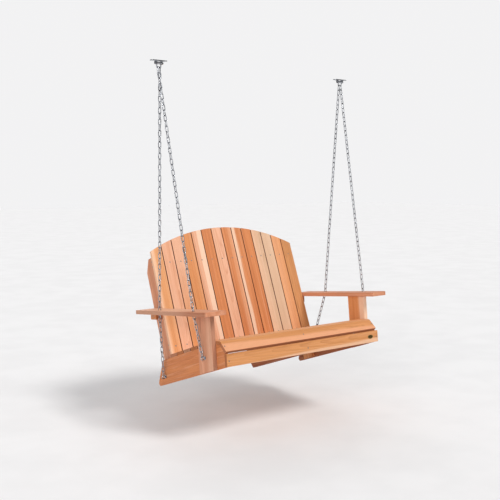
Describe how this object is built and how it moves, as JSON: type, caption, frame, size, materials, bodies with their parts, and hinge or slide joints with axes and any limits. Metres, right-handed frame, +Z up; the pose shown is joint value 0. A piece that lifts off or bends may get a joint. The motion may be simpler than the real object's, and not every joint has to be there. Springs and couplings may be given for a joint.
{
  "type": "porch swing seat",
  "caption": "Slatted cedar porch swing seat with an arched back and wide arms, hung by four chains from two pivoting hangers.",
  "frame": {"origin": "midway between the two hangers, on the underside of the beam that they screw to", "axes": "+X along the seat towards the sitter's left-hand end, +Y from the seat's front to its back, +Z up"},
  "size_m": [1.51, 0.9375, 1.9672],
  "materials": {
    "cedar_orange": "clear-oiled western red cedar, orange heartwood",
    "cedar_pink": "clear-oiled western red cedar, pink heartwood",
    "cedar_cream": "clear-oiled western red cedar, pale sapwood",
    "cedar_gold": "clear-oiled western red cedar, golden heartwood",
    "cedar_salmon": "clear-oiled western red cedar, salmon heartwood",
    "zinc": "bright zinc-plated steel",
    "screw_steel": "dull stainless screws",
    "bronze": "dark antique bronze"
  },
  "bodies": {
    "hangers": {"left_hanger": "zinc", "right_hanger": "zinc", "hanger_pins": "zinc"},
    "shackles": {"left_shackle": "zinc", "right_shackle": "zinc"},
    "left_chains": {"left_front_upper_chain": "zinc", "left_rear_upper_chain": "zinc"},
    "right_chains": {"right_front_upper_chain": "zinc", "right_rear_upper_chain": "zinc"},
    "seat": {"left_front_lower_chain": "zinc", "left_rear_lower_chain": "zinc", "right_front_lower_chain": "zinc", "right_rear_lower_chain": "zinc", "front_eye_bolts": "zinc", "rear_eye_bolts": "zinc", "eye_bolt_nuts": "zinc", "left_stringer": "cedar_salmon", "centre_stringer": "cedar_salmon", "right_stringer": "cedar_salmon", "front_apron": "cedar_gold", "nosing_slat": "cedar_pink", "crest_slat": "cedar_orange", "seat_slat_1": "cedar_orange", "seat_slat_2": "cedar_pink", "seat_slat_3": "cedar_orange", "seat_slat_4": "cedar_pink", "seat_slat_5": "cedar_orange", "seat_slat_6": "cedar_pink", "back_slat_1": "cedar_orange", "back_slat_2": "cedar_pink", "back_slat_3": "cedar_orange", "back_slat_4": "cedar_orange", "back_slat_5": "cedar_pink", "back_slat_6": "cedar_orange", "back_slat_7": "cedar_pink", "back_slat_8": "cedar_orange", "back_slat_9": "cedar_orange", "back_slat_10": "cedar_orange", "back_slat_11": "cedar_cream", "back_slat_12": "cedar_cream", "back_slat_13": "cedar_salmon", "back_slat_14": "cedar_gold", "lower_back_rail": "cedar_salmon", "upper_back_rail": "cedar_salmon", "left_back_upright": "cedar_salmon", "right_back_upright": "cedar_salmon", "left_arm": "cedar_pink", "right_arm": "cedar_pink", "left_arm_post": "cedar_pink", "right_arm_post": "cedar_orange", "left_arm_cleat": "cedar_salmon", "right_arm_cleat": "cedar_salmon", "back_screws": "screw_steel", "seat_screws": "screw_steel", "apron_screws": "screw_steel", "frame_screws": "screw_steel", "arm_screws": "screw_steel", "oval_plate": "bronze"}
  },
  "joints": [
    {"name": "swing", "type": "hinge", "parent": "hangers", "child": "shackles", "pos_m": [0, 0, -0.016], "axis": [1, 0, 0], "range_deg": [-25, 25]},
    {"name": "sway", "type": "hinge", "parent": "shackles", "child": "left_chains", "pos_m": [-0.705, 0, -0.042], "axis": [0, 0.9938, -0.1115], "range_deg": [-4, 4]},
    {"name": "seat_level", "type": "hinge", "parent": "left_chains", "child": "seat", "pos_m": [-0.666, -0.28828, -1.43078], "axis": [0, 0.9938, -0.1115], "range_deg": [-4.3, 4.3]},
    {"name": "right_sway", "type": "hinge", "parent": "shackles", "child": "right_chains", "pos_m": [0.705, 0, -0.042], "axis": [0, 0.9938, -0.1115], "range_deg": [-4.1, 4.1]}
  ],
  "couplings": [
    {"joint": "seat_level", "follows": "sway", "ratio": -1.0586},
    {"joint": "right_sway", "follows": "sway", "ratio": 1}
  ]
}
